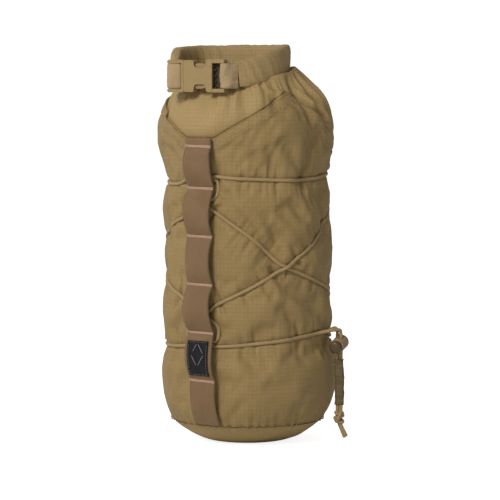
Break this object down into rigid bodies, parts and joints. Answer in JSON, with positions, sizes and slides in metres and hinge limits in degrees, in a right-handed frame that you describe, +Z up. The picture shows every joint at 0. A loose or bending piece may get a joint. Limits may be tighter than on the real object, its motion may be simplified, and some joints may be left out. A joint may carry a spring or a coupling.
{
  "type": "stuff sack",
  "caption": "Roll-top stuff sack with webbing daisy chains, criss-cross elastic lacing, a cord-lock pull and a side-release buckle.",
  "frame": {"origin": "centre of the flat bottom, where the sack stands", "axes": "+Z up the sack, -Y towards the buckle and the front daisy chain, +X towards the cord lock"},
  "size_m": [0.1563, 0.152, 0.3196],
  "materials": {
    "ripstop": "ripstop weave",
    "webbing": "twill webbing",
    "thread": "polyester thread",
    "cord": "braided",
    "label": "woven",
    "buckle": "satin moulded",
    "button": "satin moulded",
    "stiffener": "matt",
    "spring": "drawn wire"
  },
  "bodies": {
    "sack": {"bottom_panel": "ripstop", "body_panel": "ripstop", "collar_panel": "ripstop", "front_daisy_chain": "webbing", "right_daisy_chain": "webbing", "left_daisy_chain": "webbing", "front_bartack_1": "thread", "front_bartack_2": "thread", "front_bartack_3": "thread", "front_bartack_4": "thread", "front_bartack_5": "thread", "front_bartack_6": "thread", "right_bartack_1": "thread", "right_bartack_2": "thread", "right_bartack_3": "thread", "right_bartack_4": "thread", "right_bartack_5": "thread", "right_bartack_6": "thread", "left_bartack_1": "thread", "left_bartack_2": "thread", "left_bartack_3": "thread", "left_bartack_4": "thread", "left_bartack_5": "thread", "left_bartack_6": "thread", "label": "label", "shock_cord": "cord"},
    "roll_top": {"roll_closure": "ripstop", "mouth_stiffener": "stiffener", "buckle_socket": "buckle", "socket_tab": "webbing"},
    "plug": {"buckle_plug": "buckle", "plug_tab": "webbing"},
    "prong_upper": {"prong_upper": "buckle"},
    "prong_lower": {"prong_lower": "buckle"},
    "cord_lock": {"cord_lock_barrel": "buckle", "cord_lock_spring": "spring"},
    "button": {"cord_lock_button": "button"},
    "pull": {"cord_tails": "cord", "pull_sleeve": "ripstop"}
  },
  "joints": [
    {"name": "roll_lift", "type": "hinge", "parent": "sack", "child": "roll_top", "pos_m": [-0.0079, 0.01217, 0.292], "axis": [-0.9781, -0.2079, 0], "range_deg": [0, 20]},
    {"name": "plug_release", "type": "slide", "parent": "roll_top", "child": "plug", "axis": [-0.9781, -0.2079, 0], "range_m": [0, 0.026]},
    {"name": "prong_upper_flex", "type": "hinge", "parent": "plug", "child": "prong_upper", "pos_m": [-0.01264, -0.06654, 0.301], "axis": [-0.2079, 0.9781, 0], "range_deg": [0, 8], "stiffness_Nm_per_rad": 0.2},
    {"name": "prong_lower_flex", "type": "hinge", "parent": "plug", "child": "prong_lower", "pos_m": [-0.01264, -0.06654, 0.287], "axis": [-0.2079, 0.9781, 0], "range_deg": [-8, 0]},
    {"name": "lock_swing", "type": "hinge", "parent": "sack", "child": "cord_lock", "pos_m": [0.07664, 0.01699, 0.09], "axis": [0.2164, -0.9763, 0], "range_deg": [0, 35]},
    {"name": "button_press", "type": "slide", "parent": "cord_lock", "child": "button", "axis": [-0.2117, 0.955, 0.2079], "range_m": [0, 0.0022], "stiffness_N_per_m": 40},
    {"name": "pull_draw", "type": "slide", "parent": "cord_lock", "child": "pull", "axis": [0, 0, -1], "range_m": [0, 0.025], "stiffness_N_per_m": 20}
  ],
  "couplings": [
    {"joint": "prong_lower_flex", "follows": "prong_upper_flex", "ratio": -1}
  ]
}
